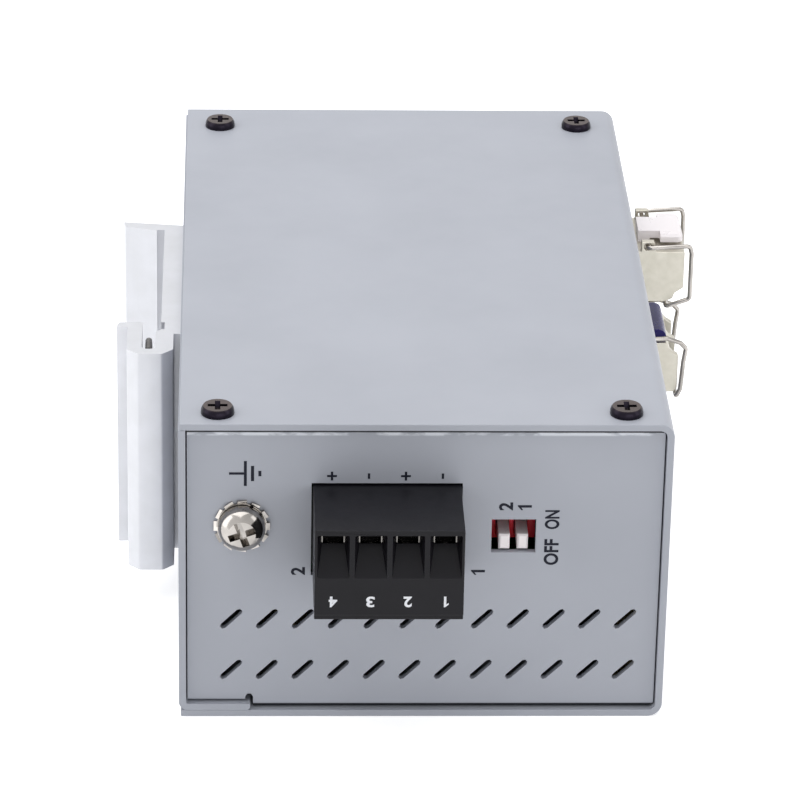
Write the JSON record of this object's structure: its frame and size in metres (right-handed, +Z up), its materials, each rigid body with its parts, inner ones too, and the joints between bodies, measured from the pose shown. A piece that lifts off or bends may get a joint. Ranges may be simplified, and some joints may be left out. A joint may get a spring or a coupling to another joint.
{
  "type": "din rail ethernet switch",
  "caption": "Folded sheet metal network switch for a mounting rail, with copper ports, pluggable fibre modules, a power plug, setting switches and a rail clip.",
  "frame": {"origin": "middle of the side panel that the unit rests on", "axes": "+Z up through the other side panel, +X from the rail side to the port side, +Y from the power end to the other end"},
  "size_m": [0.0879, 0.1271, 0.0468],
  "materials": {
    "grey_paint": "satin",
    "black_steel": "satin",
    "bright_steel": "polished",
    "black_plastic": "matte",
    "tinned_brass": "satin",
    "red_plastic": "gloss",
    "white_plastic": "gloss",
    "green_board": "satin",
    "plated_sheet": "satin",
    "nickel_casting": "satin",
    "purple_plastic": "gloss",
    "jack_metal": "satin",
    "clear_plastic": "gloss",
    "clear_aluminium": "satin"
  },
  "bodies": {
    "switch_body": {"outer_shell": "grey_paint", "rear_panel": "grey_paint", "inner_chassis": "grey_paint", "cover_screws": "black_steel", "ground_screw": "bright_steel", "ground_washer": "bright_steel", "ground_nut": "bright_steel", "terminal_header": "black_plastic", "header_pins": "tinned_brass", "dip_cover": "red_plastic", "dip_base": "black_plastic", "upper_board": "green_board", "lower_board": "green_board", "lower_standoffs": "tinned_brass", "board_spacers": "tinned_brass", "board_screws": "bright_steel", "upper_module_cage": "plated_sheet", "lower_module_cage": "plated_sheet", "upper_jack_row": "jack_metal", "upper_jack_contacts": "tinned_brass", "lower_jack_row": "jack_metal", "lower_jack_contacts": "tinned_brass", "status_lights": "clear_plastic", "rail_clip": "clear_aluminium", "clip_screws": "bright_steel", "clip_nuts": "bright_steel", "clip_spring": "bright_steel"},
    "plug": {"terminal_plug": "black_plastic", "plug_cages": "tinned_brass", "plug_screws": "bright_steel"},
    "dip_lever_2": {"dip_lever_2": "white_plastic"},
    "dip_lever_1": {"dip_lever_1": "white_plastic"},
    "upper_module": {"upper_module_body": "plated_sheet", "upper_module_nose": "nickel_casting", "upper_latch_tab": "white_plastic"},
    "upper_bail": {"upper_bail": "bright_steel"},
    "lower_module": {"lower_module_body": "plated_sheet", "lower_module_nose": "nickel_casting", "lower_latch_tab": "purple_plastic"},
    "lower_bail": {"lower_bail": "bright_steel"}
  },
  "joints": [
    {"name": "plug_pull", "type": "slide", "parent": "switch_body", "child": "plug", "axis": [0, -1, 0], "range_m": [0, 0.0085]},
    {"name": "dip_slide_2", "type": "slide", "parent": "switch_body", "child": "dip_lever_2", "axis": [0, 0, 1], "range_m": [0, 0.0023]},
    {"name": "dip_slide_1", "type": "slide", "parent": "switch_body", "child": "dip_lever_1", "axis": [0, 0, 1], "range_m": [0, 0.0023]},
    {"name": "upper_module_slide", "type": "slide", "parent": "switch_body", "child": "upper_module", "axis": [1, 0, 0], "range_m": [0, 0.04]},
    {"name": "upper_bail_swing", "type": "hinge", "parent": "upper_module", "child": "upper_bail", "pos_m": [0.03745, 0.0331, 0.0355], "axis": [0, -1, 0], "range_deg": [0, 90]},
    {"name": "lower_module_slide", "type": "slide", "parent": "switch_body", "child": "lower_module", "axis": [1, 0, 0], "range_m": [0, 0.04]},
    {"name": "lower_bail_swing", "type": "hinge", "parent": "lower_module", "child": "lower_bail", "pos_m": [0.03745, 0.0331, 0.02], "axis": [0, -1, 0], "range_deg": [0, 62]}
  ]
}
